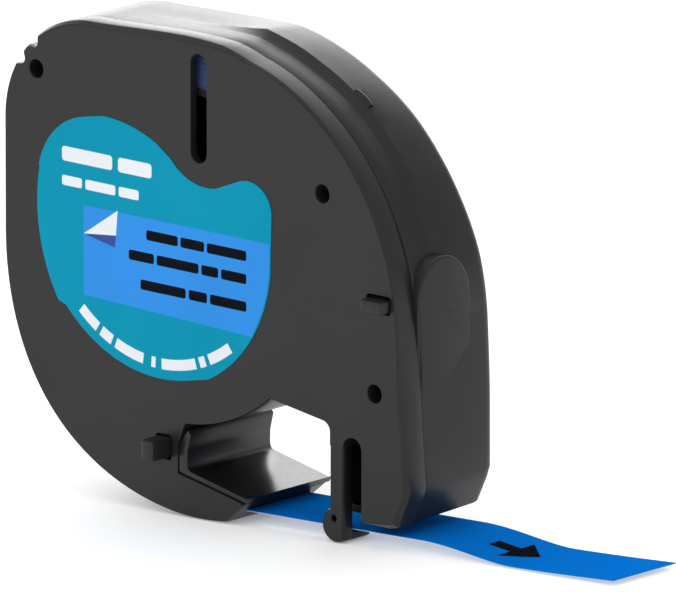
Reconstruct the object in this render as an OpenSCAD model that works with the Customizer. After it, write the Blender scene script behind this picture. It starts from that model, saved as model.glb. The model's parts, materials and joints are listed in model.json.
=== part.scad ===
// Label tape cassette: a two-part case, a wound roll of label tape on a core,
// and the tape's leader, which crosses an open bay and leaves under a small hook.
// X runs along the tape, Y from the front face to the rear face, Z is up.
// The origin is on the surface that the case stands on, below the middle of the whole part.

/* [Case] */
// Depth of the case, from the front face to the rear face
case_depth = 16; // [15.5:0.5:18]
// Radius of the round lower left side
round_r = 32.6; // [32.4:0.1:33]
// How much fuller than its arc the round side is, midway
side_bulge = 0.7; // [0:0.1:0.9]
// Thickness of the moulded walls
wall = 1.2; // [1:0.1:1.3]
// Depth of the front cover's own rim
cover_depth = 3.5; // [3:0.1:4]
// How far the rear band stands out from the rim in front of it
band_step = 1.1; // [0.8:0.1:1.3]
// Depth at which the rear band begins
band_start = 9; // [8:0.5:10]
// Depth of the thumb pad's middle line
pad_y = 6.8; // [6:0.1:7.5]

/* [Roll] */
// Outer radius of the wound tape
roll_r = 23.6; // [22:0.1:23.7]
// Inner radius of the wound tape
core_r = 18.6; // [17:0.1:19]
// Radius of the post that the core turns on
post_r = 3; // [2.5:0.1:4]
// Radial running clearance between core and post
post_gap = 0.06; // [0.03:0.01:0.1]
// Number of spokes in the core
spokes = 5; // [3:1:8]

/* [Tape] */
// Width of the label tape
tape_w = 12; // [11.5:0.1:12]
// Thickness of the coloured film
film_t = 0.09; // [0.08:0.01:0.12]
// Thickness of the backing paper
liner_t = 0.07; // [0.06:0.01:0.08]
// Length of tape that lies outside the case
free_length = 32.4; // [26:0.2:38]
// How far the free end curls up from the lowest point
end_rise = 0.45; // [0:0.05:1]

/* [Face] */
// Radius of the three locating holes
hole_r = 1.18; // [1:0.02:1.3]
// Depth of the three locating holes
hole_depth = 2.5; // [2:0.1:2.8]
// Width of the slot that shows the tape left
window_w = 2.7; // [2:0.1:2.9]
// Width of the slot beside the hook's arm
arm_slot_w = 2.9; // [2.2:0.1:3]
// Thickness of the label on the face
label_t = 0.12; // [0.08:0.01:0.2]

/* [Hidden] */
$fn = 96;
eps = 0.01;

shell_color = [0.17, 0.17, 0.17];
film_color = [0.03, 0.35, 0.85];
label_color = [0, 0.5, 0.62];

// Places in the case's own plan, seen from the front: [across, up] from the middle of the round side
roll_c = [-3.4, 4.6];
chamber_r = roll_r + 0.5;
hole_c = [[-27.15, 21.75], [21.5, 13.3], [30.3, -11.2]];
window_x = 0.55;
window_low = 13.9;
window_high = 28;
front_c = [0.4, -3.6];
front_r = 33.7;
band_c = [0.8, -4];
band_r = front_r + band_step;
corner_c = [-round_r + 14.5, 14.8];
corner_r = 14.5;
side_x = 36;
front_low = -28.4;
rear_low = -27.8;
bay_right = 22.73;
lip_left = [-2.9, -27.1];
lip_right = [8.6, -29.3];
arm_w = 2.4;
arm_depth = 1.8;
foot_depth = 5;
foot_top = -30.45;
hook_c = [23.7, -29.4];
hook_r = 2.3;
lug_out = 3.2;
post_c = [-9.6, -26.6];
pin_c = [[-29, 12], [-24, -17], [15.6, 23], [31, -4.6]];
pin_r = 1;

// The case leans until its round side and the hook's foot both touch the surface
lean = 90 + atan2(hook_c[1], hook_c[0]) - acos((round_r - hook_r) / norm(hook_c));

// Tape heights above the surface, and its run from the hidden tail to the free end
tape_y = (case_depth - tape_w) / 2;
tape_h = 1.65;
tail_x = -6.6;
exit_x = 35;
dip_x = exit_x + 15;
strip_end = exit_x + free_length;

// The whole part's middle, so that the origin is under the middle of its box
mid_x = (strip_end - round_r) / 2;
mid_y = (case_depth - lug_out) / 2;

// Points on an arc, from angle a0 to a1
function arc(c, r, a0, a1, n = 12) =
    [for (i = [0 : n]) let (a = a0 + (a1 - a0) * i / n) [c[0] + r * cos(a), c[1] + r * sin(a)]];

// The case's outline, moved in by d, with its upper right side on the arc c, r and its foot at low
function outline(d, c, r, low) = concat(
    round_side(d), arc([0, 0], round_r - d, 262, 279, 5),
    [lip_right - [d, -d / 2], [bay_right, low + d], [32.6, low + d], [33.9 - d, low + 0.3 + d],
     [35.5 - d, low + 3.7], [side_x - d, low + 5.2]],
    arc(c, r - d, 4, 84, 28),
    [[-3.5, 29.9 - d]],
    arc(corner_c, corner_r - d, 91, 180, 12));

// The round side from its left to near the surface, a little fuller than its arc midway
function round_side(d) = [for (i = [0 : 19]) let (a = 180 + 82 * i / 20)
    (round_r - d + side_bulge * pow(sin(180 * i / 20), 2)) * [cos(a), sin(a)]];

module case_plan(d = 0, low = front_low) polygon(outline(d, front_c, front_r, low));
module band_plan() polygon(outline(0, band_c, band_r, rear_low));

// Drawn on the surface, then moved so that the whole part's middle is over the origin
module stand() translate([-mid_x, -mid_y, 0]) children();

// Drawn in the case's plan, then leaned onto the surface
module place() stand() translate([0, 0, round_r]) rotate([0, lean, 0]) children();

// A plan shape from depth y0 to depth y1
module slab(y0, y1) translate([0, y1, 0]) rotate([90, 0, 0]) linear_extrude(y1 - y0) children();

// A round bar or hole along the depth
module bar(c, r, y0, y1) translate([c[0], y1, c[1]]) rotate([90, 0, 0]) cylinder(r = r, h = y1 - y0);

// Rounded slot shape, upright
module upright_slot(x, low, high, w) {
    translate([x, low + w / 2]) circle(d = w, $fn = 48);
    translate([x, high - w / 2]) circle(d = w, $fn = 48);
    translate([x - w / 2, low + w / 2]) square([w, high - low - w]);
}

// The open bay above the tape, grown by g so that its walls can be left standing
module bay(g = 0) {
    far = 50;
    polygon(concat(
        [[lip_left[0] - g, lip_left[1] - g], [lip_left[0] - g, -23.6], [-1.9 - g * 0.7, -21 + g * 0.7]],
        arc(roll_c, chamber_r + 1.1 - g, -86, -50.5, 10),
        [[bay_right - 0.9, -16.2 + g]],
        arc([bay_right - 1.2, -17.4], 1.2 + g, 70, 0, 4),
        [[bay_right + g, -far], [lip_right[0] - 2 - g, -far], [lip_right[0] - g, lip_right[1] - g]]));
}

// Two small round notches in the upper left corner
module corner_notches(g = 0) {
    for (c = [[-27.9, 25.4], [-30.45, 22.6]]) translate(c) circle(r = 1.25 + g, $fn = 48);
}

// The room inside the case, clear of the hole bosses and the joining pins' bosses
module room(d) difference() {
    case_plan(d, rear_low);
    bay(wall);
    for (c = hole_c) translate(c) circle(r = hole_r + 0.9, $fn = 48);
    for (c = pin_c) translate(c) circle(r = pin_r + 1, $fn = 48);
    corner_notches(1);
}

// Slot across the chin that lets the tape out at its right end
module tape_way() translate([tail_x - 1.2, tape_y - 0.3, tape_h - 0.3])
    cube([17, tape_w + 0.6, 1.1]);

// The arm's own place and the slot beside it, both open at the bottom
module arm_gap() {
    translate([bay_right - eps, -40]) square([arm_w + eps, 40 - 17.65]);
    upright_slot(bay_right + arm_w + arm_slot_w / 2, -40, -17.65, arm_slot_w);
}

module lug_windows() {
    translate([28.9, -0.75]) square([4.6, 2.9]);
    translate([-6.9, -26]) square([3, 3.6]);
}

module front_cover() color(shell_color) {
    difference() {
        place() cover_body();
        stand() tape_way();
    }
}

module cover_body() difference() {
    union() {
        slab(0, cover_depth) difference() {
            case_plan();
            bay();
        }
        thumb_pad(0, cover_depth);
    }
    slab(wall, cover_depth + eps) room(wall);
    slab(-eps, case_depth + eps) corner_notches();
    slab(-eps, cover_depth + eps) arm_gap();
    for (c = hole_c) bar(c, hole_r, -eps, hole_depth);
    for (c = pin_c) bar(c, pin_r + 0.05, wall, cover_depth + eps);
    slab(-eps, wall + eps) {
        upright_slot(window_x, window_low, window_high, window_w);
        lug_windows();
    }
}

module rear_case() color(shell_color) difference() {
    place() rear_body();
    stand() tape_way();
}

module rear_body() difference() {
    union() {
        slab(cover_depth, case_depth) difference() {
            case_plan();
            bay();
        }
        slab(band_start, case_depth) difference() {
            band_plan();
            bay();
        }
        thumb_pad(cover_depth, case_depth);
    }
    slab(cover_depth - eps, case_depth - wall) room(wall);
    slab(-eps, case_depth + eps) corner_notches();
}

// Flat grip on the right side, with an arched top, level with the side wall at its foot
module thumb_pad(y0, y1) intersection() {
    translate([31, 0, 0]) rotate([90, 0, 90]) linear_extrude(side_x + 0.1 - 31) polygon(concat(
        [[pad_y - 4.9, -22], [pad_y + 5.9, -22], [pad_y + 5.4, -5]],
        [for (p = arc([0, 0], 1, 0, 180, 20)) [pad_y + 5 * p[0], 6.6 * p[1]]]));
    translate([30, y0, -30]) cube([10, y1 - y0, 40]);
}

// Slender arm in front of the tape, with a foot that runs back under it
module exit_hook() color(shell_color) place() difference() {
    union() {
        slab(0, arm_depth) translate([bay_right, hook_c[1]]) square([arm_w, -17.65 - hook_c[1]]);
        bar(hook_c, hook_r, 0, arm_depth);
        intersection() {
            bar(hook_c, hook_r, 0, foot_depth);
            translate([0, -1, -40]) cube([40, foot_depth + 2, 40 + foot_top]);
        }
    }
    translate([bay_right + arm_w, -1, -40]) cube([5, foot_depth + 2, 50]);
    bar([23.44, -28.55], 0.45, -eps, 1.2);
}

// Keyed lugs that stand on the rear wall and come out through windows in the front cover
module lug(x, z, w, h, out) translate([x, -out, z]) cube([w, out + case_depth - wall, h]);
module face_lug_upper() color(shell_color) place() difference() {
    lug(29.2, -0.45, 4, 1.7, 1.5);
    translate([32.25, wall - 0.1, -2]) cube([3, case_depth, 5]);
}
module face_lug_lower() color(shell_color) place() lug(-6.5, -25.4, 2.1, 2.7, lug_out);

// The round post that the core turns on
module spool_post() color(shell_color) place() {
    bar(roll_c, post_r, wall, case_depth - wall);
    bar(roll_c, post_r + 1.5, case_depth - wall - 0.6, case_depth - wall);
}

// Fixed post that turns the tape into the chin
module guide_post() color(shell_color) place() bar(post_c, 1.6, wall, case_depth - wall);

// Pins that press into the front cover and hold the case shut
module join_pins() color(shell_color) place() for (c = pin_c) {
    bar(c, pin_r, wall + 0.2, case_depth - wall);
}

// Smooth bent plate that lines the bay: a shelf over the tape and an upright back
module tape_guide_plate() color([0.1, 0.1, 0.11]) place() slab(0.1, case_depth - 0.1) {
    t = 0.5;
    a = [lip_left[0] + 0.1, lip_left[1] + 0.05];
    b = [lip_right[0], lip_right[1] + 0.05];
    polygon([a, b, b + [0.4, 0.75], b + [0, t + 0.1], a + [2.2, t - 0.2], a + [1.5, t + 0.1],
             a + [1.3, t + 1], a + [1.9, 5.2], a + [1.4, 5.3], a + [0.3, 3.4], a + [0, 1]]);
}

// Printed label: round sides, a lobe at the right and a notch below the window
module front_label() color(label_color) place() slab(-label_t, 0) polygon(concat(
    arc([-17.27, 7.36], 9.6, 100, 168, 8),
    arc([-3.17, 4.76], 23.76, 169, 212, 8),
    arc([-5.97, 6.65], 21.9, 223, 282, 10),
    arc([-6.58, 3.36], 19.5, 297, 353, 10),
    arc([8.99, 8.91], 4.03, 4, 112, 10),
    arc([1.99, 18.96], 8.04, 282, 221, 8),
    arc([-15.68, -3.31], 20.76, 64, 90, 6)));

// Ring, hub and spokes that carry the roll
module spool_core() color([0.08, 0.08, 0.08]) place() {
    y0 = tape_y + 0.1;
    y1 = case_depth - tape_y - 0.1;
    difference() {
        bar(roll_c, core_r - 0.02, y0, y1);
        bar(roll_c, core_r - 1, y0 - eps, y1 + eps);
    }
    difference() {
        union() {
            bar(roll_c, post_r + 1.2, y0, y1);
            for (i = [0 : spokes - 1]) translate([roll_c[0], 0, roll_c[1]])
                rotate([0, i * 360 / spokes + 20, 0])
                translate([post_r + 0.6, y0 + 4, -0.5]) cube([core_r - post_r - 1, y1 - y0 - 8, 1]);
        }
        bar(roll_c, post_r + post_gap, y0 - eps, y1 + eps);
    }
}

module tape_roll() color(film_color) place() difference() {
    bar(roll_c, roll_r, tape_y, case_depth - tape_y);
    bar(roll_c, core_r, tape_y - eps, case_depth - tape_y + eps);
}

// Run of tape from the roll, round the guide post and down into the chin over the leader's tail
module tape_lead() color(film_color) place() slab(tape_y, case_depth - tape_y) {
    t = film_t + liner_t;
    polygon(concat(lead_side(0), [for (i = [10 : -1 : 0]) lead_side(t)[i]]));
}
function lead_side(t) = concat(
    [roll_c + (roll_r + 0.12 + t) * [cos(212), sin(212)]],
    arc(post_c, 1.72 + t, 212, 268, 7),
    [[-6.3, -30.45 - t], [0.6, -30.5 - t]]);

// The leader's height: level in the case, a shallow dip outside it and a rise to the free end
function strip_h(x) = x <= exit_x ? tape_h
    : x <= dip_x ? 0.2 + (tape_h - 0.2) * pow(cos(90 * (x - exit_x) / 15), 1.6)
    : 0.2 + end_rise * pow((x - dip_x) / (strip_end - dip_x), 1.5);
strip_x = concat([tail_x, exit_x - 1], [for (i = [0 : 16]) exit_x + free_length * i / 16]);

// Ribbon of the tape from height z0 to z1 about the leader's line
module ribbon(z0, z1) slab(tape_y, case_depth - tape_y) polygon(concat(
    [for (x = strip_x) [x, strip_h(x) + z0]],
    [for (i = [len(strip_x) - 1 : -1 : 0]) [strip_x[i], strip_h(strip_x[i]) + z1]]));
module strip_liner() color([0.85, 0.87, 0.9]) stand() ribbon(-liner_t, 0);
module strip_film() color(film_color) stand() ribbon(0, film_t);

front_cover();
rear_case();
exit_hook();
face_lug_upper();
face_lug_lower();
spool_post();
guide_post();
join_pins();
tape_guide_plate();
front_label();
spool_core();
tape_roll();
tape_lead();
strip_film();
strip_liner();
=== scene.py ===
"""Looks of a label tape cassette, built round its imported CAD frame."""

import json
import math

import bmesh
import bpy
from mathutils import Matrix, Vector
from mathutils.geometry import delaunay_2d_cdt


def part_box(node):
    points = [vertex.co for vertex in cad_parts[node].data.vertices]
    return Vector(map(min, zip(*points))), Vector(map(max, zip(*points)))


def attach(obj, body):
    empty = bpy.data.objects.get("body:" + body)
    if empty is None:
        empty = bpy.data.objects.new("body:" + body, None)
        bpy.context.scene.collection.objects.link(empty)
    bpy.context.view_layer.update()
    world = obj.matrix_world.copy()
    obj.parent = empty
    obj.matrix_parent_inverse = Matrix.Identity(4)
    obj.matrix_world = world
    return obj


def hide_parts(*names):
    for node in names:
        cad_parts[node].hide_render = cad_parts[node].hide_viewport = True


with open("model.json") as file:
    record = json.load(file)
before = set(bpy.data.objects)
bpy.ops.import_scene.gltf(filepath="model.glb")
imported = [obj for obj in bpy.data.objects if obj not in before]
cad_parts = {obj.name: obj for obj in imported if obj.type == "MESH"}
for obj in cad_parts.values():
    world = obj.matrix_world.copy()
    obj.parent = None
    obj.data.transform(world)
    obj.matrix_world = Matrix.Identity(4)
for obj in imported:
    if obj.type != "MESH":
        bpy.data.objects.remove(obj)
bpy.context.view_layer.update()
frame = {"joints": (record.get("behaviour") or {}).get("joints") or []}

MM = 0.001

# --- Driving dimensions, in millimetres, in the case's own plan (across, up) ---
LEAN = math.radians(2.2302)      # the case leans onto its round side and its hook
ROUND_R = 32.6
ROLL_C = (-3.4, 4.6)
ROLL_R = 23.6
CORE_R = 18.6
POST_R = 3.0
WALL = 1.2
COVER_DEPTH = 3.5
RIM_C = (0.8, -4.0)              # middle of the upper right side's curve
BEVEL_DEPTH = 0.8                # depth at which the face's bevel has ended
RISER = (7.2, 8.8)               # depths between which the rear band steps out
CORNER_C, CORNER_R = (-18.1, 14.8), 14.5
CORNER_START = 91                # angle at which the corner's curve meets the crown
SIDE_X = 36.0                    # the right side at its foot
SIDE_TOP_X = 34.02               # the right side at the face, where its upper curve begins
SIDE_FOOT_Z, SIDE_TOP_Z = -23.2, -1.25
FRONT_LOW, REAR_LOW = -28.4, -27.8
SIDE_BULGE = 0.69
# Radius of the upper right side, by angle: at the face, at the seam, in front of the band's
# step, on the step's edge and at the rear
FACE_RADII = ((4, 33.3), (20, 33.3), (40, 33.4), (55, 33.45), (66, 33.5), (76, 33.45),
              (84, 33.9))
SEAM_RADII = ((4, 33.5), (20, 33.3), (55, 33.3), (66, 33.32), (76, 33.38), (84, 33.85))
STEP_RADII = ((4, 34.0), (19, 33.7), (28, 33.5), (42, 33.35), (55, 33.3), (67, 33.15),
              (78, 33.4), (84, 33.8))
EDGE_RADII = ((4, 34.65), (20, 34.45), (30, 34.1), (40, 33.8), (50, 33.9), (60, 34.0),
              (68, 34.0), (74, 34.2), (81, 34.4), (84, 34.6))
REAR_RADII = ((4, 34.75), (15, 34.7), (28, 34.2), (38, 33.95), (48, 33.85), (54, 33.7),
              (62, 33.55), (72, 33.65), (84, 33.95))
BITES, BITE, BITE_HALF = (132.5, 145.8), 0.9, 4.2  # angles round the corner, depth, half width
BAY_RIGHT = 22.73
BAY_R = 25.2
LIP_LEFT, LIP_RIGHT = (-2.9, -27.1), (8.6, -29.3)
ARM_W, ARM_DEPTH = 2.4, 1.8
SLOT_W, SLOT_TOP = 2.9, -17.65
HOOK_C, HOOK_R = (23.7, -29.4), 2.3
FOOT_TOP, FOOT_DEPTH = -30.45, 5.0
HOLES = ((-27.15, 21.75), (21.5, 13.3), (30.3, -11.2))
HOLE_R, HOLE_DEPTH = 1.18, 2.5
WINDOW = (0.55, 13.9, 28.0, 2.7)  # middle, bottom, top, width
# Left, bottom, right and top of the lugs' windows and of the lugs, with how far they stand out
LUG_GAPS = ((29.05, -0.6, 32.95, 1.65), (-6.7, -25.6, -4.15, -22.5))
LUGS = ((29.2, -0.45, 32.8, 1.25, 1.5), (-6.5, -25.4, -4.4, -22.7, 3.2))
POST_C = (-9.6, -26.6)
PINS = ((-29, 12), (-24, -17), (15.6, 23), (31, -4.6))
LABEL_T = 0.12
CHAMBER_R = 24.6
SLOT_R = SLOT_W / 2
SLOT_X = BAY_RIGHT + ARM_W + SLOT_R
ARM_TOP = SLOT_TOP - SLOT_R
BAY_CORNER_R = 1.2
FILM_T, LINER_T = 0.09, 0.07

# --- Places that come from the frame ---
spin = next(j for j in frame["joints"] if j["name"] == "spool_spin")
axis_at = Vector(spin["pos_m"])
face_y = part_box("front_cover")[0].y
case_depth = (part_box("rear_case")[1].y - face_y) / MM
tape_low, tape_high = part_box("strip_liner")
tape_y = ((tape_low.y - face_y) / MM, (tape_high.y - face_y) / MM)
tape_x0 = tape_low.x
tape_x1 = tape_high.x


def case(x, y, z):
    """A point of the case's plan, at depth y behind the face, in the row frame."""
    dx, dz = (x - ROLL_C[0]) * MM, (z - ROLL_C[1]) * MM
    return Vector((
        axis_at.x + dx * math.cos(LEAN) + dz * math.sin(LEAN),
        face_y + y * MM,
        axis_at.z - dx * math.sin(LEAN) + dz * math.cos(LEAN),
    ))


def ground(x, y, h):
    """A point x mm along the leader from the tape's free end, at height h."""
    return Vector((tape_x1 + x * MM, face_y + y * MM, h * MM))


# --- Plan shapes ---

def arc(c, r, a0, a1, n=12):
    """Points round an arc from angle a0 to a1, in degrees."""
    turn = [math.radians(a0 + (a1 - a0) * i / n) for i in range(n + 1)]
    return [(c[0] + r * math.cos(t), c[1] + r * math.sin(t)) for t in turn]


def circle(c, r, n=32):
    return arc(c, r, 0, 360, n)[:-1]


def rounded_box(x0, z0, x1, z1, r, n=5):
    return (arc((x1 - r, z1 - r), r, 0, 90, n) + arc((x0 + r, z1 - r), r, 90, 180, n)
            + arc((x0 + r, z0 + r), r, 180, 270, n) + arc((x1 - r, z0 + r), r, 270, 360, n))


def inset(loop, d, weights=None, fixed=None):
    """A counter-clockwise loop moved in by d, mitred, less where a weight is below 1."""
    out = []
    n = len(loop)
    for i, p in enumerate(loop):
        w = weights[i] if weights else 1
        if fixed and i in fixed:
            fx, fz = fixed[i]
            out.append((p[0] + fx * d * w, p[1] + fz * d * w))
            continue
        a, b = loop[i - 1], loop[(i + 1) % n]
        u = Vector((p[0] - a[0], p[1] - a[1])).normalized()
        v = Vector((b[0] - p[0], b[1] - p[1])).normalized()
        nu, nv = Vector((-u.y, u.x)), Vector((-v.y, v.x))
        m = nu + nv
        m = m / max(m.length_squared / 2, 0.35)
        out.append((p[0] + m.x * d * w, p[1] + m.y * d * w))
    return out


def clamp(value):
    return min(1, max(0, value))


def lerp(a, b, t):
    """The loop that lies the part t of the way from loop a to loop b."""
    return [(p[0] + (q[0] - p[0]) * t, p[1] + (q[1] - p[1]) * t) for p, q in zip(a, b)]


# --- Mesh building ---

def inside(p, loop):
    """Whether a point lies inside a loop, by counting the edges to its right."""
    count = 0
    for a, b in zip(loop, loop[1:] + loop[:1]):
        if (a[1] > p.y) != (b[1] > p.y):
            count += p.x < a[0] + (p.y - a[1]) * (b[0] - a[0]) / (b[1] - a[1])
    return count % 2


class Solid:
    """Closed rings at given depths, walls between them and caps over them."""

    def __init__(self):
        self.bm = bmesh.new()
        self.creases = []

    def ring(self, pts, y):
        return [(p, self.bm.verts.new(case(p[0], y, p[1]))) for p in pts]

    def free_ring(self, places):
        """A ring whose points lie anywhere, for walls and ends but not for caps."""
        return [(None, self.bm.verts.new(place)) for place in places]

    def end(self, ring, slot=0):
        """One face over a ring."""
        face = self.bm.faces.new([v for _, v in ring])
        face.material_index = slot
        return face

    def wall(self, a, b, slot=0):
        for i in range(len(a)):
            j = (i + 1) % len(a)
            face = self.bm.faces.new((a[i][1], a[j][1], b[j][1], b[i][1]))
            face.material_index = slot

    def tube(self, steps, slot=0):
        """Rings from (points, depth) pairs, joined in turn. Gives the first and last ring."""
        rings = [self.ring(pts, y) for pts, y in steps]
        for a, b in zip(rings, rings[1:]):
            self.wall(a, b, slot)
        return rings

    def cap(self, *rings, slot=0):
        """A flat face with the first ring outside and the others as holes."""
        flat = [v for r in rings for _, v in r]
        spots = [Vector(p) for r in rings for p, _ in r]
        edges, start = [], 0
        for r in rings:
            edges += [(start + i, start + (i + 1) % len(r)) for i in range(len(r))]
            start += len(r)
        made = delaunay_2d_cdt(spots, edges, [], 1, 1e-6)
        origin = [o[0] if o else None for o in made[3]]
        for f in made[2]:
            middle = sum((made[0][i] for i in f), Vector((0, 0))) / len(f)
            if sum(inside(middle, [p for p, _ in r]) for r in rings) % 2 == 0:
                continue
            if any(origin[i] is None for i in f):
                raise ValueError(f"a cap's loops cross near {middle}")
            face = self.bm.faces.new([flat[origin[i]] for i in f])
            face.material_index = slot

    def block(self, loop, y0, y1, edge=0.1, slot=0):
        """A plan shape from depth y0 to y1 with its front and rear edges eased."""
        rings = self.tube([(inset(loop, edge), y0), (inset(loop, edge * .3), y0 + edge * .3),
                           (loop, y0 + edge), (loop, y1 - edge),
                           (inset(loop, edge * .3), y1 - edge * .3), (inset(loop, edge), y1)], slot)
        self.cap(rings[0], slot=slot)
        self.cap(rings[-1], slot=slot)

    def lathe(self, c, profile, n=96, slot=0):
        """A profile of (radius, depth) turned about the plan point c, closed on itself."""
        rings = [self.ring(circle(c, r, n), y) for r, y in profile]
        for a, b in zip(rings, rings[1:] + rings[:1]):
            self.wall(a, b, slot)

    def finish(self, name, body, materials, replaces, angle=32):
        """The mesh as a named object on its body, with edges over the angle kept sharp."""
        bmesh.ops.recalc_face_normals(self.bm, faces=self.bm.faces)
        mesh = bpy.data.meshes.new(name)
        for a, b in self.creases:
            edge = self.bm.edges.get((a, b))
            if edge:
                edge.smooth = False
        self.bm.to_mesh(mesh)
        self.bm.free()
        for face in mesh.polygons:
            face.use_smooth = True
        kept = [e.use_edge_sharp for e in mesh.edges]
        mesh.set_sharp_from_angle(angle=math.radians(angle))
        for e, k in zip(mesh.edges, kept):
            if k:
                e.use_edge_sharp = True
        for m in materials:
            mesh.materials.append(m)
        obj = bpy.data.objects.new(name, mesh)
        bpy.context.scene.collection.objects.link(obj)
        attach(obj, body)
        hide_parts(*replaces)


# --- Materials ---

ROUGH_SHIFT = 0.05


def node_material(name, base, rough, spec=0.5, grain=1500, shade=0.12, bump=0.02):
    """A material whose colour, roughness and surface vary with fine noise."""
    mat = bpy.data.materials.new(name)
    mat.use_nodes = True
    nodes, links = mat.node_tree.nodes, mat.node_tree.links
    shader = nodes["Principled BSDF"]
    shader.inputs["Specular IOR Level"].default_value = spec
    coords = nodes.new("ShaderNodeTexCoord")
    fine = nodes.new("ShaderNodeTexNoise")
    fine.inputs["Scale"].default_value = grain
    fine.inputs["Detail"].default_value = 3
    broad = nodes.new("ShaderNodeTexNoise")
    broad.inputs["Scale"].default_value = grain / 20
    broad.inputs["Detail"].default_value = 2
    links.new(coords.outputs["Object"], fine.inputs["Vector"])
    links.new(coords.outputs["Object"], broad.inputs["Vector"])
    ramp = nodes.new("ShaderNodeValToRGB")
    ramp.color_ramp.elements[0].position = 0.3
    ramp.color_ramp.elements[1].position = 0.7
    ramp.color_ramp.elements[0].color = (*[c * (1 - shade) for c in base], 1)
    ramp.color_ramp.elements[1].color = (*[min(1, c * (1 + shade)) for c in base], 1)
    links.new(broad.outputs["Fac"], ramp.inputs["Fac"])
    links.new(ramp.outputs["Color"], shader.inputs["Base Color"])
    spread = nodes.new("ShaderNodeMapRange")
    spread.inputs["To Min"].default_value = rough - ROUGH_SHIFT
    spread.inputs["To Max"].default_value = rough + ROUGH_SHIFT
    links.new(fine.outputs["Fac"], spread.inputs["Value"])
    links.new(spread.outputs["Result"], shader.inputs["Roughness"])
    raised = nodes.new("ShaderNodeBump")
    raised.inputs["Strength"].default_value = bump
    raised.inputs["Distance"].default_value = 0.0002
    links.new(fine.outputs["Fac"], raised.inputs["Height"])
    links.new(raised.outputs["Normal"], shader.inputs["Normal"])
    return mat


black = node_material("case_black", (0.011, 0.011, 0.011), 0.34, spec=0.3, bump=0.05)
hook_black = node_material("hook_black", (0.010, 0.010, 0.010), 0.3, spec=0.3, bump=0.05)
glossy_black = node_material("guide_gloss", (0.007, 0.007, 0.008), 0.3, spec=0.38, bump=0.004)
core_black = node_material("core_black", (0.03, 0.02, 0.022), 0.45, spec=0.3)
film_blue = node_material("film_blue", (0.002, 0.15, 0.56), 0.5, spec=0.0, shade=0.05,
                          bump=0.01)
roll_blue = node_material("roll_blue", (0.05, 0.08, 0.2), 0.35, shade=0.3, bump=0.05)
liner_white = node_material("liner_paper", (0.55, 0.62, 0.75), 0.6, spec=0.2, shade=0.05)
label_teal = node_material("label_teal", (0.0, 0.26, 0.40), 0.42, spec=0.05, shade=0.04)
label_blue = node_material("label_blue", (0.03, 0.25, 0.70), 0.42, spec=0.05, shade=0.04)
ink_white = node_material("ink_white", (0.72, 0.76, 0.8), 0.5, spec=0.3, shade=0.04)
ink_navy = node_material("ink_navy", (0.01, 0.05, 0.25), 0.45, spec=0.3, shade=0.05)
ink_black = node_material("ink_black", (0.006, 0.008, 0.012), 0.7, spec=0.0)
floor_white = node_material("floor_white", (0.92, 0.92, 0.92), 0.9, spec=0.0, grain=60,
                            shade=0.01, bump=0.0)
lit = floor_white.node_tree.nodes["Principled BSDF"]
lit.inputs["Emission Color"].default_value = (1, 1, 1, 1)
lit.inputs["Emission Strength"].default_value = 0.22


# --- The case ---

def bay_edge():
    """The bay's roof, from the lip's left end up and across to the arm."""
    return ([LIP_LEFT, (LIP_LEFT[0], -23.6), (-1.9, -21.0)]
            + arc(ROLL_C, BAY_R, -86, -50.5, 16)
            + [(BAY_RIGHT - 0.9, -16.2)]
            + arc((BAY_RIGHT - BAY_CORNER_R, -17.4), BAY_CORNER_R, 70, 0, 5))


def along(angle, table):
    """A value read from (angle, value) pairs, straight between them."""
    for (a, u), (b, v) in zip(table, table[1:]):
        if angle <= b:
            return u + (v - u) * (angle - a) / (b - a)
    return table[-1][1]


def side_line(z):
    """How far right the side reaches at height z, at the face and at the rear."""
    front = SIDE_X + (SIDE_TOP_X - SIDE_X) * (z - SIDE_FOOT_Z) / (SIDE_TOP_Z - SIDE_FOOT_Z)
    rear = SIDE_X - 0.5 * max(0, (z + 14) / 12.4) ** 1.5
    return front, rear


def side_and_top(radii, low, lean_back, rise):
    """From the foot of the right side over the top to the left side.

    lean_back is how far the side has moved out to the rear's, and rise the crown's slope."""
    side = []
    for z in (-19.0, -17.0, -15.0, -13.0, -11.0, -9.0, -7.0, -5.0, -3.5, -2.2):
        front, rear = side_line(z)
        side.append((front + (rear - front) * lean_back, z))
    curve = []
    for i in range(41):
        angle = 4 + 2 * i
        r, t = along(angle, radii), math.radians(angle)
        curve.append((RIM_C[0] + r * math.cos(t), RIM_C[1] + r * math.sin(t)))
    return ([(32.6, low), (33.9, low + 0.3), (35.5, low + 3.7), (SIDE_X, low + 5.2)]
            + side + curve + crown(curve[-1], rise)
            + arc(CORNER_C, CORNER_R, CORNER_START, 180, 96))


def crown(a, rise, n=10):
    """The nearly flat run between the top's right curve and the corner's curve."""
    start = math.radians(CORNER_START)
    b = (CORNER_C[0] + CORNER_R * math.cos(start), CORNER_C[1] + CORNER_R * math.sin(start))
    run = a[0] - b[0]
    points = []
    for i in range(1, n):
        t = i / n
        z = (2 * t ** 3 - 3 * t ** 2 + 1) * a[1] + (3 * t ** 2 - 2 * t ** 3) * b[1]
        z += (t ** 3 - 2 * t ** 2 + t) * run * rise - (t ** 3 - t ** 2) * run * 0.0175
        points.append((a[0] - run * t, z))
    return points


# The radii and the slope of the crown's right end for each kind of outline
LEVELS = {"face": (FACE_RADII, 0.105), "seam": (SEAM_RADII, 0.09), "step": (STEP_RADII, 0.06),
          "edge": (EDGE_RADII, -0.12), "rear": (REAR_RADII, 0.02)}


def level(kind, y):
    """The outline of one kind, with the foot and the right side as they are at depth y."""
    low = FRONT_LOW + (REAR_LOW - FRONT_LOW) * y / case_depth
    radii, rise = LEVELS[kind]
    return side_and_top(radii, low, clamp((y - BEVEL_DEPTH) / 14.2), rise)


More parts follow.
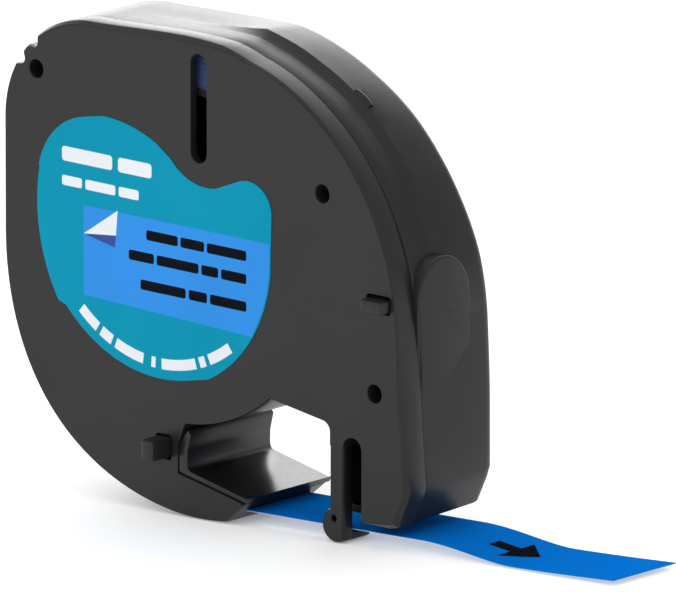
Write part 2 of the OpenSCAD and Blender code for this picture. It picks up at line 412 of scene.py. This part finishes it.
def rim(y):
    """The outline in front of the band, which draws in from the face to the step."""
    t = clamp((y - BEVEL_DEPTH) / 6.4)
    return lerp(level("face", y), level("step", y), t)


def bitten(loop):
    """The loop with two small round bites taken out of its upper left corner."""
    out = []
    for p in loop:
        dx, dz = p[0] - CORNER_C[0], p[1] - CORNER_C[1]
        turn, far = math.degrees(math.atan2(dz, dx)), math.hypot(dx, dz)
        deep = sum(BITE * (1 - ((turn - at) / BITE_HALF) ** 2) for at in BITES
                   if abs(turn - at) < BITE_HALF)
        scale = 1 - deep / far if far > CORNER_R - 3 else 1
        out.append((CORNER_C[0] + dx * scale, CORNER_C[1] + dz * scale))
    return out


def chin():
    """The round left side, a little fuller than its arc midway, round to the chin's tip."""
    side = []
    for i in range(40):
        t = math.radians(180 + 82 * i / 40)
        r = ROUND_R + SIDE_BULGE * math.sin(math.pi * i / 40) ** 2
        side.append((r * math.cos(t), r * math.sin(t)))
    return side + arc((0, 0), ROUND_R, 262, 279, 8) + [LIP_RIGHT]


def side_weights(loop):
    """How much of the face's bevel each outer point has: most at the foot and on the crown."""
    out = []
    for x, z in loop:
        if z < 0:
            out.append(0.3 + 0.5 * clamp((-3 - z) / 6))
        elif x > 0:
            out.append(0.3 + 0.5 * clamp((10 - x) / 8))
        else:
            out.append(0.22 + 0.75 * clamp((x + 31) / 16))
    return out


def cover_outline(y):
    """The cover's loop, how much each point is bevelled, and the arm's two fixed directions."""
    loop = chin()
    weights = [0.22] * len(loop)
    loop += bay_edge()
    weights += [0.14] * (len(loop) - len(weights))
    fixed = {len(loop): (1, 0), len(loop) + 1: (-1, 0)}
    loop += [(BAY_RIGHT, ARM_TOP), (BAY_RIGHT + ARM_W, ARM_TOP)]
    loop += arc((SLOT_X, ARM_TOP), SLOT_R, 180, 0, 12)[1:] + [(SLOT_X + SLOT_R, FRONT_LOW)]
    weights += [0.14] * (len(loop) - len(weights))
    outer = lerp(level("face", y), level("seam", y), clamp((y - 0.5) / 2.6))
    return loop + outer, weights + side_weights(outer), fixed


def upright_slot(x, low, high, w):
    return arc((x, high - w / 2), w / 2, 0, 180, 14) + arc((x, low + w / 2), w / 2, 180, 360, 14)


def opening(solid, loop, depths):
    """The wall of a hole: grown at its mouth, then straight through the given depths."""
    steps = [(inset(loop, -0.1), 0), (inset(loop, -0.03), 0.07)]
    steps += [(loop, y) for y in depths]
    return solid.tube(steps)


def front_cover():
    s = Solid()
    profile = [(0.88, 0), (0.82, 0.04), (0.76, 0.04), (0.7, 0.0), (0.14, 0.36), (0.05, 0.44),
               (0, 0.55), (0, 2.0), (0, COVER_DEPTH - 0.1), (0.05, COVER_DEPTH)]
    steps = []
    for d, y in profile:
        loop, weights, fixed = cover_outline(y)
        steps.append((bitten(inset(loop, d, weights, fixed)), y))
    rings = s.tube(steps)
    window = opening(s, upright_slot(*WINDOW), [0.14, WALL])
    lugs = [opening(s, rounded_box(*g, 0.35), [0.14, COVER_DEPTH]) for g in LUG_GAPS]
    blinds = [opening(s, circle(c, HOLE_R), [0.14, HOLE_DEPTH]) for c in HOLES]
    for b in blinds:
        s.cap(b[-1])
    room = s.tube([(circle(ROLL_C, CHAMBER_R, 96), y) for y in (WALL, COVER_DEPTH)])
    s.cap(rings[0], window[0], *[r[0] for r in lugs], *[r[0] for r in blinds])
    s.cap(room[0], window[-1])
    s.cap(rings[-1], room[-1], *[r[-1] for r in lugs])
    lip_ridge(s)
    s.finish("cover_front", "shell", [black], ["front_cover"])


def lip_ridge(s):
    """The chin's rounded front lip with a small knob at its left end."""
    a, b = Vector((-3.0, -27.3)), Vector((7.9, -29.45))
    run = (b - a).normalized()
    up = Vector((-run.y, run.x))
    n, r = 10, 0.22
    rings = []
    for i in range(n + 1):
        p = a + (b - a) * i / n
        swell = r * (1.25 if i == 0 else 1.0) * (0.75 if i == n else 1)
        turns = [math.tau * k / 14 for k in range(14)]
        rings.append(s.free_ring([case(p.x + up.x * swell * math.cos(t),
                                       -0.02 - swell * math.sin(t) * 0.8,
                                       p.y + up.y * swell * math.cos(t)) for t in turns]))
    for first, second in zip(rings, rings[1:]):
        s.wall(first, second)
    s.end(rings[0])
    s.end(rings[-1])


def rear_case():
    s = Solid()
    y1 = case_depth
    seam_y = COVER_DEPTH
    fixed_part = chin() + bay_edge() + [(BAY_RIGHT, REAR_LOW)]
    sample = level("rear", y1)
    outer = [1.0] * len(chin()) + [0.1] * (len(fixed_part) - len(chin()))
    outer += [0.5 + 0.5 * clamp((z + 2) / 16) for _, z in sample]
    seam = [0.3] * len(chin()) + [0.1] * (len(fixed_part) - len(chin()))
    seam += [1.0 if x > 4 and z > 2 else 0.2 for x, z in sample]

    def ring(upper, d, y, weights=outer):
        return bitten(inset(fixed_part[:-1] + [(BAY_RIGHT, upper[0][1])] + upper, d, weights)), y
    step_y, edge_y = RISER
    steps = [ring(rim(seam_y), 0.05, seam_y, seam), ring(rim(seam_y), 0, seam_y + 0.1)]
    steps += [ring(rim(y), 0, y) for y in (5.5, step_y)]
    for t, u in ((0.06, 0.2), (0.92, 0.9), (1, 1)):
        y = step_y + (edge_y - step_y) * u
        steps.append(ring(lerp(level("step", y), level("edge", y), t), 0, y))
    for d, y in ((0, 11.0), (0, y1 - 1.2), (0.08, y1 - 0.7), (0.3, y1 - 0.3), (0.5, y1 - 0.1),
                 (0.8, y1)):
        t = min(1, (y - edge_y) / (y1 - 1 - edge_y))
        steps.append(ring(lerp(level("edge", y), level("rear", y), t), d, y))
    rings = s.tube(steps)
    curve = len(fixed_part) + 14
    for k, i0, i1 in ((3, 0, 48), (5, 26, 46), (5, 0, 22), (6, 0, 22), (6, 26, 46)):
        for i in range(curve + i0, curve + i1):
            s.creases.append((rings[k][i][1], rings[k][i + 1][1]))
    room = s.tube([(circle(ROLL_C, CHAMBER_R, 96), y) for y in (seam_y, y1 - WALL)])
    leg = rounded_box(23.4, -27.3, 34.2, -15.6, 0.5)
    pocket = s.tube([(leg, seam_y), (leg, y1 - WALL)])
    s.cap(rings[0], room[0], pocket[0])
    s.cap(room[-1])
    s.cap(pocket[-1])
    s.cap(rings[-1])
    thumb_pad(s)
    nub(s)
    s.finish("case_rear", "shell", [black], ["rear_case"])


def thumb_pad(s):
    """Flat grip with an arched top that stands out of the right side and merges with it below."""
    y0, y1, mid, half, top = 3.3, 12.5, 7.9, 4.6, 6.1
    arch = [(mid + half * math.cos(t), top * math.sin(t))
            for t in [math.pi * i / 24 for i in range(25)]]
    left = [(y0, z) for z in (-2, -4, -6, -8, -10, -12)]
    outline = [(y0 + 0.3, -14), (y1 - 0.3, -14)] + [(y1, z) for _, z in left[::-1]] + arch + left

    def plane(y, z):
        """How far right the grip reaches. Below z = merge it sinks into the side."""
        merge = -8
        sunk = clamp((merge - z) / 6)
        front, rear = side_line(min(z, merge))
        return front + (rear - front) * (y - BEVEL_DEPTH) / 16.7 + 0.05 - 0.1 * sunk
    steps = []
    for d, sink in ((0, 5.0), (0, 0.3), (0.05, 0.14), (0.16, 0.04), (0.35, 0.0)):
        steps.append(s.free_ring([case(plane(*p) - sink, *p) for p in inset(outline, d)]))
    for a, b in zip(steps, steps[1:]):
        s.wall(a, b)
    bmesh.ops.triangulate(s.bm, faces=[s.end(steps[0]), s.end(steps[-1])])


def nub(s):
    """A small raised tab on the edge of the rear band."""
    start, stop, y0, y1 = 57.5, 52.5, 8.6, 9.9
    along_n, across_n = 8, 9
    rings = []
    for i in range(along_n + 1):
        t = math.radians(start + (stop - start) * i / along_n)
        rise = 0.42 * math.sin(math.pi * (0.15 + 0.6 * i / along_n))
        row = []
        for k in range(across_n + 1):
            u = k / across_n
            r = 33.5 + (rise + 0.55) * math.sin(math.pi * u) ** 0.5
            row.append(case(RIM_C[0] + r * math.cos(t), y0 + (y1 - y0) * u,
                            RIM_C[1] + r * math.sin(t)))
        rings.append(s.free_ring(row))
    for a, b in zip(rings, rings[1:]):
        s.wall(a, b)
    s.end(rings[0])
    s.end(rings[-1])


def exit_hook():
    s = Solid()
    reach_l = math.acos((BAY_RIGHT - HOOK_C[0]) / HOOK_R)
    reach_r = math.acos((BAY_RIGHT + ARM_W - HOOK_C[0]) / HOOK_R)
    a0, a1 = math.degrees(reach_l), 360 - math.degrees(reach_r)
    right = BAY_RIGHT + ARM_W
    loop = [(BAY_RIGHT, ARM_TOP)] + arc(HOOK_C, HOOK_R, a0, a1, 24) + [(right, ARM_TOP)]
    fixed = {0: (1, 0), len(loop) - 1: (-1, 0)}
    w = [0.3] * len(loop)
    profile = [(0.88, 0), (0.82, 0.07), (0.76, 0.07), (0.7, 0.0), (0.14, 0.3), (0, 0.5),
               (0, ARM_DEPTH - 0.2), (0.3, ARM_DEPTH)]
    rings = s.tube([(inset(loop, d, w, fixed), y) for d, y in profile])
    eye = opening(s, circle((23.44, -28.55), 0.45, 20), [0.1, 1.2])
    s.cap(rings[0], eye[0])
    s.cap(eye[-1])
    s.cap(rings[-1])
    low = math.degrees(math.asin((FOOT_TOP - HOOK_C[1]) / HOOK_R))
    foot = arc(HOOK_C, HOOK_R, 180 - low, a1, 14) + [(right, FOOT_TOP)]
    s.block(foot, ARM_DEPTH - 0.2, FOOT_DEPTH, 0.12)
    s.finish("hook_exit", "shell", [hook_black], ["exit_hook"])


def face_lugs():
    for name, node, (x0, z0, x1, z1, out) in (("lug_upper", "face_lug_upper", LUGS[0]),
                                              ("lug_lower", "face_lug_lower", LUGS[1])):
        s = Solid()
        loop = rounded_box(x0, z0, x1, z1, 0.32)
        rings = s.tube([(inset(loop, 0.28), -out), (inset(loop, 0.1), -out + 0.07),
                        (loop, -out + 0.25), (loop, COVER_DEPTH)])
        s.cap(rings[0])
        s.cap(rings[-1])
        s.finish(name, "shell", [black], [node])


def inner_parts():
    s = Solid()
    back = case_depth - WALL
    s.lathe(ROLL_C, [(0.01, WALL), (POST_R - 0.3, WALL), (POST_R, WALL + 0.4),
                     (POST_R, back - 0.6), (POST_R + 1.5, back - 0.6), (POST_R + 1.5, back),
                     (0.01, back)], 48)
    s.finish("post_spool", "shell", [black], ["spool_post"])
    s = Solid()
    s.lathe(POST_C, [(0.01, 4), (1.3, 4), (1.6, 4.3), (1.6, back - 0.3), (1.3, back),
                     (0.01, back)], 40)
    s.finish("post_guide", "shell", [black], ["guide_post"])
    s = Solid()
    for c in PINS:
        s.lathe(c, [(0.01, WALL + 0.2), (0.7, WALL + 0.2), (1, WALL + 0.6), (1, back),
                    (0.01, back)], 24)
    s.finish("pins_join", "shell", [black], ["join_pins"])


def guide_plate():
    """The smooth shelf over the tape with its upright back."""
    s = Solid()
    a = Vector((LIP_LEFT[0] + 0.1, LIP_LEFT[1] + 0.05))
    b = Vector((LIP_RIGHT[0], LIP_RIGHT[1] + 0.05))
    steps = [(a, 0, 0), (b, 0, 0), (b, .4, .75), (b, .1, .68), (b, 0, .6), (a, 2.6, 0.22),
             (a, 2.2, .3), (a, 1.75, .42), (a, 1.5, .6), (a, 1.35, .95), (a, 1.3, 1.5),
             (a, 1.35, 3.0), (a, 1.9, 5.2), (a, 1.45, 5.75), (a, .6, 4.6), (a, -.06, 3.3),
             (a, -.09, 1)]
    loop = [(p.x + dx, p.y + dz) for p, dx, dz in steps]
    s.block(loop, 0.1, case_depth - 0.1, 0.06)
    s.finish("plate_guide", "shell", [glossy_black], ["tape_guide_plate"],
             angle=50)


# --- The label ---

def label_outline():
    return (arc((-17.27, 7.36), 9.6, 100, 168, 14) + arc((-3.17, 4.76), 23.76, 169, 212, 14)
            + arc((-5.97, 6.65), 21.9, 223, 282, 18) + arc((-6.58, 3.36), 19.5, 297, 353, 18)
            + arc((8.99, 8.91), 4.03, 4, 112, 16) + arc((1.99, 18.96), 8.04, 282, 221, 14)
            + arc((-15.68, -3.31), 20.76, 64, 90, 10))


def ink(s, loop, slot, layer=1):
    """A printed patch, a hair proud of the label."""
    y = -LABEL_T - 0.012 * layer
    a, b = s.tube([(loop, y), (loop, -LABEL_T + 0.01)], slot)
    s.cap(a, slot=slot)
    s.cap(b, slot=slot)


def bar_words(s, x0, x1, z, h, slot, words, layer=2):
    """A row of plain bars in place of a line of print."""
    total = sum(words) + 0.35 * (len(words) - 1)
    x = x0
    for w in words:
        wide = (x1 - x0) * w / total
        ink(s, rounded_box(x, z, x + wide, z + h, h * 0.2, 2), slot, layer)
        x += wide + (x1 - x0) * 0.35 / total


def front_label():
    s = Solid()
    loop = label_outline()
    rings = s.tube([(inset(loop, 0.06), -LABEL_T), (loop, -LABEL_T + 0.04), (loop, 0.0)])
    s.cap(rings[0])
    s.cap(rings[-1])
    right = arc((-6.58, 3.36), 19.3, -31, 6, 14)
    band = [(-18.95, -6.4), (right[0][0], -7.2)] + right + [(-18.95, 5.3)]
    ink(s, band, 1)
    ink(s, [(-18.9, 1.6), (-13.4, 2.2), (-13.1, 5.5)], 2, 2)
    ink(s, [(-18.9, 1.6), (-13.6, 0.6), (-13.4, 2.2)], 3, 2)
    bar_words(s, -22.6, -7.3, 10.6, 1.9, 2, (3, 2))
    bar_words(s, -22.6, -9.5, 7.4, 1.3, 2, (2, 3, 2))
    bar_words(s, -8.2, 8.8, 2.5, 1.3, 4, (4, 3, 5))
    bar_words(s, -11.2, 8.8, -0.5, 1.3, 4, (3, 5, 2, 3))
    bar_words(s, -9.2, 8.8, -4.1, 1.3, 4, (5, 2, 4))
    for a0, a1 in ((228, 238), (240, 246), (248, 262), (266, 268), (271, 288), (290, 293),
                   (295, 307)):
        low = arc((-5.97, 6.65), 20.6, a0, a1, 6) + arc((-5.97, 6.65), 19.2, a1, a0, 6)
        ink(s, low, 2, 2)
    s.finish("label_front", "shell",
             [label_teal, label_blue, ink_white, ink_navy, ink_black],
             ["front_label"])


# --- The roll and its core ---

def roll():
    s = Solid()
    y0, y1 = tape_y
    turns = 30
    step = (ROLL_R - CORE_R) / turns
    front, rear = [], []
    for i in range(turns):
        r = CORE_R + i * step
        lift = 0.05 * math.sin(i * 2.4)
        front += [(r + 0.01, y0 + 0.1 + lift), (r + step * 0.7, y0 + 0.1 + lift)]
        rear += [(r + 0.01, y1 - 0.1 - lift), (r + step * 0.7, y1 - 0.1 - lift)]
    s.lathe(ROLL_C, front + rear[::-1], 120)
    s.finish("roll_tape", "spool", [roll_blue], ["tape_roll"], angle=60)
    s = Solid()
    y0, y1 = y0 + 0.1, y1 - 0.1
    s.lathe(ROLL_C, [(CORE_R - 1, y0), (CORE_R - 0.05, y0), (CORE_R - 0.05, y1),
                     (CORE_R - 1, y1)])
    s.lathe(ROLL_C, [(POST_R + 0.06, y0), (POST_R + 1.2, y0), (POST_R + 1.2, y1),
                     (POST_R + 0.06, y1)], 48)
    for i in range(5):
        t = -math.radians(i * 72 + 20)
        c, d = math.cos(t), math.sin(t)
        quad = [(u * c - v * d + ROLL_C[0], u * d + v * c + ROLL_C[1])
                for u, v in ((POST_R + 0.8, -.5), (CORE_R - 0.6, -.5), (CORE_R - 0.6, .5),
                             (POST_R + 0.8, .5))]
        s.block(quad, y0 + 4, y1 - 4, 0.1)
    s.finish("core_spool", "spool", [core_black], ["spool_core"])


# --- The tape ---

EXIT_RUN, DIP_AT = 32.4, 17.4    # from the free end back to where the tape drops and lands
TAPE_H, DIP_H, END_RISE = 1.65, 0.2, 0.45


def leader_height(x):
    """Height of the leader, x mm from its free end (negative back towards the case)."""
    if x <= -EXIT_RUN:
        return TAPE_H
    if x <= -DIP_AT:
        fall = (x + EXIT_RUN) / (EXIT_RUN - DIP_AT)
        return DIP_H + (TAPE_H - DIP_H) * math.cos(math.pi / 2 * fall) ** 1.6
    return DIP_H + END_RISE * ((x + DIP_AT) / DIP_AT) ** 1.5


def ribbon(s, x0, y0, y1, h0, h1, n=90):
    """A strip of tape from x0 to the free end that follows the leader's line, h0 to h1 above."""
    rings = []
    for i in range(n + 1):
        x = x0 - x0 * i / n
        h = leader_height(x)
        corners = ((y0, h0), (y1, h0), (y1, h1), (y0, h1))
        rings.append(s.free_ring([ground(x, y, h + d) for y, d in corners]))
    for a, b in zip(rings, rings[1:]):
        s.wall(a, b)
    s.end(rings[0])
    s.end(rings[-1])


def patch(s, pts, h, slot):
    """A thin printed shape that stands on the film."""
    def put(lift):
        return [(p, s.bm.verts.new(ground(p[0], p[1], leader_height(p[0]) + lift))) for p in pts]
    low, top = put(h - 0.02), put(h + 0.006)
    s.wall(low, top, slot)
    for r in (low, top):
        s.cap(r, slot=slot)


def leader():
    tail = (tape_x0 - tape_x1) / MM
    y0, y1 = tape_y
    s = Solid()
    ribbon(s, tail, y0 + 0.01, y1 - 0.01, 0, FILM_T)
    arrow = [(-25.2, 6.9), (-21.6, 6.9), (-21.6, 4.4), (-17.4, 8.0), (-21.6, 11.6),
             (-21.6, 9.1), (-25.2, 9.1)]
    patch(s, arrow, FILM_T, 1)
    s.finish("leader_film", "leader", [film_blue, ink_black], ["strip_film"])
    s = Solid()
    ribbon(s, tail, y0, y1, -LINER_T, 0.0)
    s.finish("leader_liner", "leader", [liner_white], ["strip_liner"])


def lead():
    """The hidden run of tape from the roll round its guide post."""
    s = Solid()
    y0, y1 = tape_y
    leaves = 212  # angle at which the tape leaves the roll

    def side(extra):
        a = math.radians(leaves)
        r = ROLL_R + 0.12 + extra
        return ([(ROLL_C[0] + r * math.cos(a), ROLL_C[1] + r * math.sin(a))]
                + arc(POST_C, 1.72 + extra, leaves, 268, 7)
                + [(-6.3, -30.45 - extra), (0.6, -30.5 - extra)])
    loop = side(FILM_T + LINER_T) + side(0)[::-1]
    rings = s.tube([(loop, y0), (loop, y1)])
    s.cap(rings[0])
    s.cap(rings[-1])
    s.finish("lead_tape", "shell", [film_blue], ["tape_lead"])


front_cover()
rear_case()
exit_hook()
face_lugs()
inner_parts()
guide_plate()
front_label()
roll()
leader()
lead()


# --- Stage, light and camera ---

def floor():
    mesh = bpy.data.meshes.new("floor")
    half, low = 4.0, -0.00002
    corners = ((-half, -half), (half, -half), (half, half), (-half, half))
    mesh.from_pydata([(x, y, low) for x, y in corners], [], [(0, 1, 2, 3)])
    mesh.materials.append(floor_white)
    obj = bpy.data.objects.new("floor", mesh)
    bpy.context.scene.collection.objects.link(obj)


def world_light(base, lobes):
    """Even white light with broad brighter or darker parts of the sky."""
    world = bpy.data.worlds.new("studio")
    bpy.context.scene.world = world
    world.use_nodes = True
    nodes, links = world.node_tree.nodes, world.node_tree.links
    back = nodes["Background"]
    back.inputs["Color"].default_value = (1, 1, 1, 1)
    coords = nodes.new("ShaderNodeTexCoord")
    total = None
    for direction, power, strength in lobes:
        d = Vector(direction).normalized()
        dot = nodes.new("ShaderNodeVectorMath")
        dot.operation = "DOT_PRODUCT"
        dot.inputs[1].default_value = d
        links.new(coords.outputs["Generated"], dot.inputs[0])
        chain = dot.outputs["Value"]
        for op, value in (("MAXIMUM", 0.0), ("POWER", power), ("MULTIPLY", strength)):
            m = nodes.new("ShaderNodeMath")
            m.operation = op
            m.inputs[1].default_value = value
            links.new(chain, m.inputs[0])
            chain = m.outputs[0]
        add = nodes.new("ShaderNodeMath")
        add.operation = "ADD"
        links.new(chain, add.inputs[0])
        if total is None:
            add.inputs[1].default_value = base
        else:
            links.new(total, add.inputs[1])
        total = add.outputs[0]
    low = nodes.new("ShaderNodeMath")
    low.operation = "MAXIMUM"
    low.inputs[1].default_value = 0.0
    links.new(total, low.inputs[0])
    links.new(low.outputs[0], back.inputs["Strength"])


floor()
world_light(1.05, (((-0.65, 0.72, 0.2), 6, 3.0), ((0.55, 0.72, 0.4), 4, -0.5)))

AZIMUTH, ELEVATION = math.radians(41.7), math.radians(14)
AIM = case(24.2, 0, 0)
DISTANCE = 3.45
VIEW_W = 85.14                   # width of the view at the aimed point, in millimetres
SENSOR_W = 36


def lean_vector(v):
    """A direction turned with the leaning case."""
    return Vector((v.x * math.cos(LEAN) + v.z * math.sin(LEAN), v.y,
                   -v.x * math.sin(LEAN) + v.z * math.cos(LEAN)))


def camera():
    toward = Vector((math.sin(AZIMUTH) * math.cos(ELEVATION),
                     -math.cos(AZIMUTH) * math.cos(ELEVATION), math.sin(ELEVATION)))
    right = Vector((math.cos(AZIMUTH), math.sin(AZIMUTH), 0))
    toward, right = lean_vector(toward), lean_vector(right)
    up = toward.cross(right)
    data = bpy.data.cameras.new("camera")
    data.sensor_width = SENSOR_W
    data.lens = SENSOR_W * DISTANCE / (VIEW_W * MM)
    data.clip_start, data.clip_end = 0.1, 20
    cam = bpy.data.objects.new("camera", data)
    bpy.context.scene.collection.objects.link(cam)
    turn = Matrix((right, up, toward)).transposed()
    cam.matrix_world = Matrix.Translation(AIM + toward * DISTANCE) @ turn.to_4x4()
    bpy.context.scene.camera = cam


camera()
bpy.context.scene.view_settings.view_transform = "Standard"
bpy.context.scene.view_settings.look = "None"
